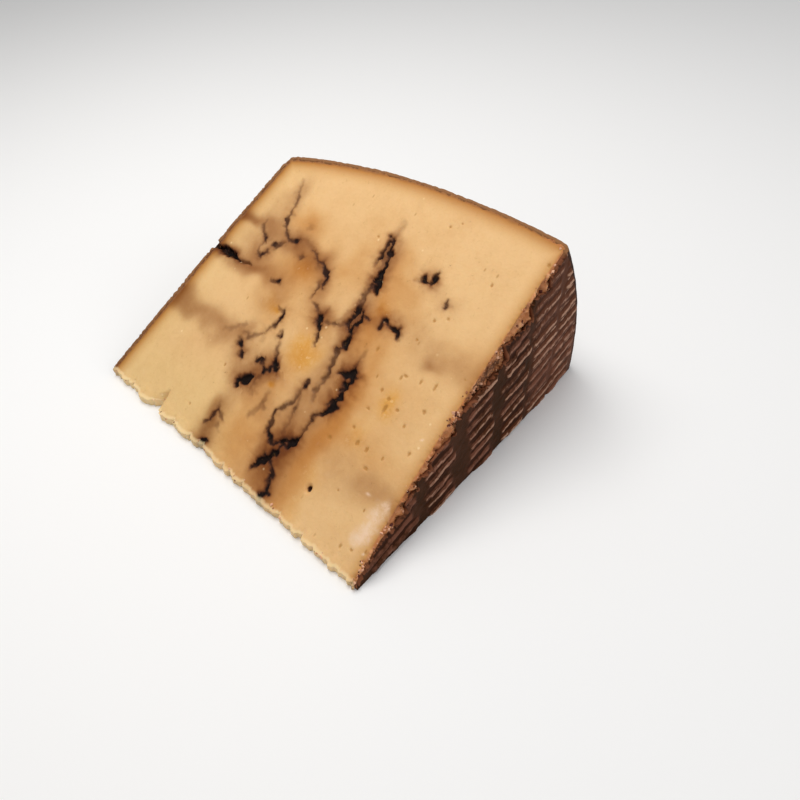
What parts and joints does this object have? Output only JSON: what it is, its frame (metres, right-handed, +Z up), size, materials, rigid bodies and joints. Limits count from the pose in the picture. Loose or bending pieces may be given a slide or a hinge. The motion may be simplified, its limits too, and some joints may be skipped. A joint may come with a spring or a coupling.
{
  "type": "mixed milk cheese wedge",
  "caption": "Wedge of aged mixed-milk cheese lying on one cut face, with dark veins in the pale paste, a dark mat-marked rind and a crumbled thin inner edge.",
  "frame": {"origin": "under the middle of the bounding box, in the plane of the lower cut face that the wedge lies on", "axes": "+Z up; +X from the thin inner edge (the wheel's centre) out to the rim; +Y along the wheel's axis, from one flat side to the other"},
  "size_m": [0.1126, 0.1274, 0.0602],
  "materials": {
    "paste": "creamy satin cut face with dark veins",
    "rind": "dark oily rind with lighter worn ribs"
  },
  "bodies": {
    "root": {"cheese_wedge": "paste"}
  },
  "joints": []
}
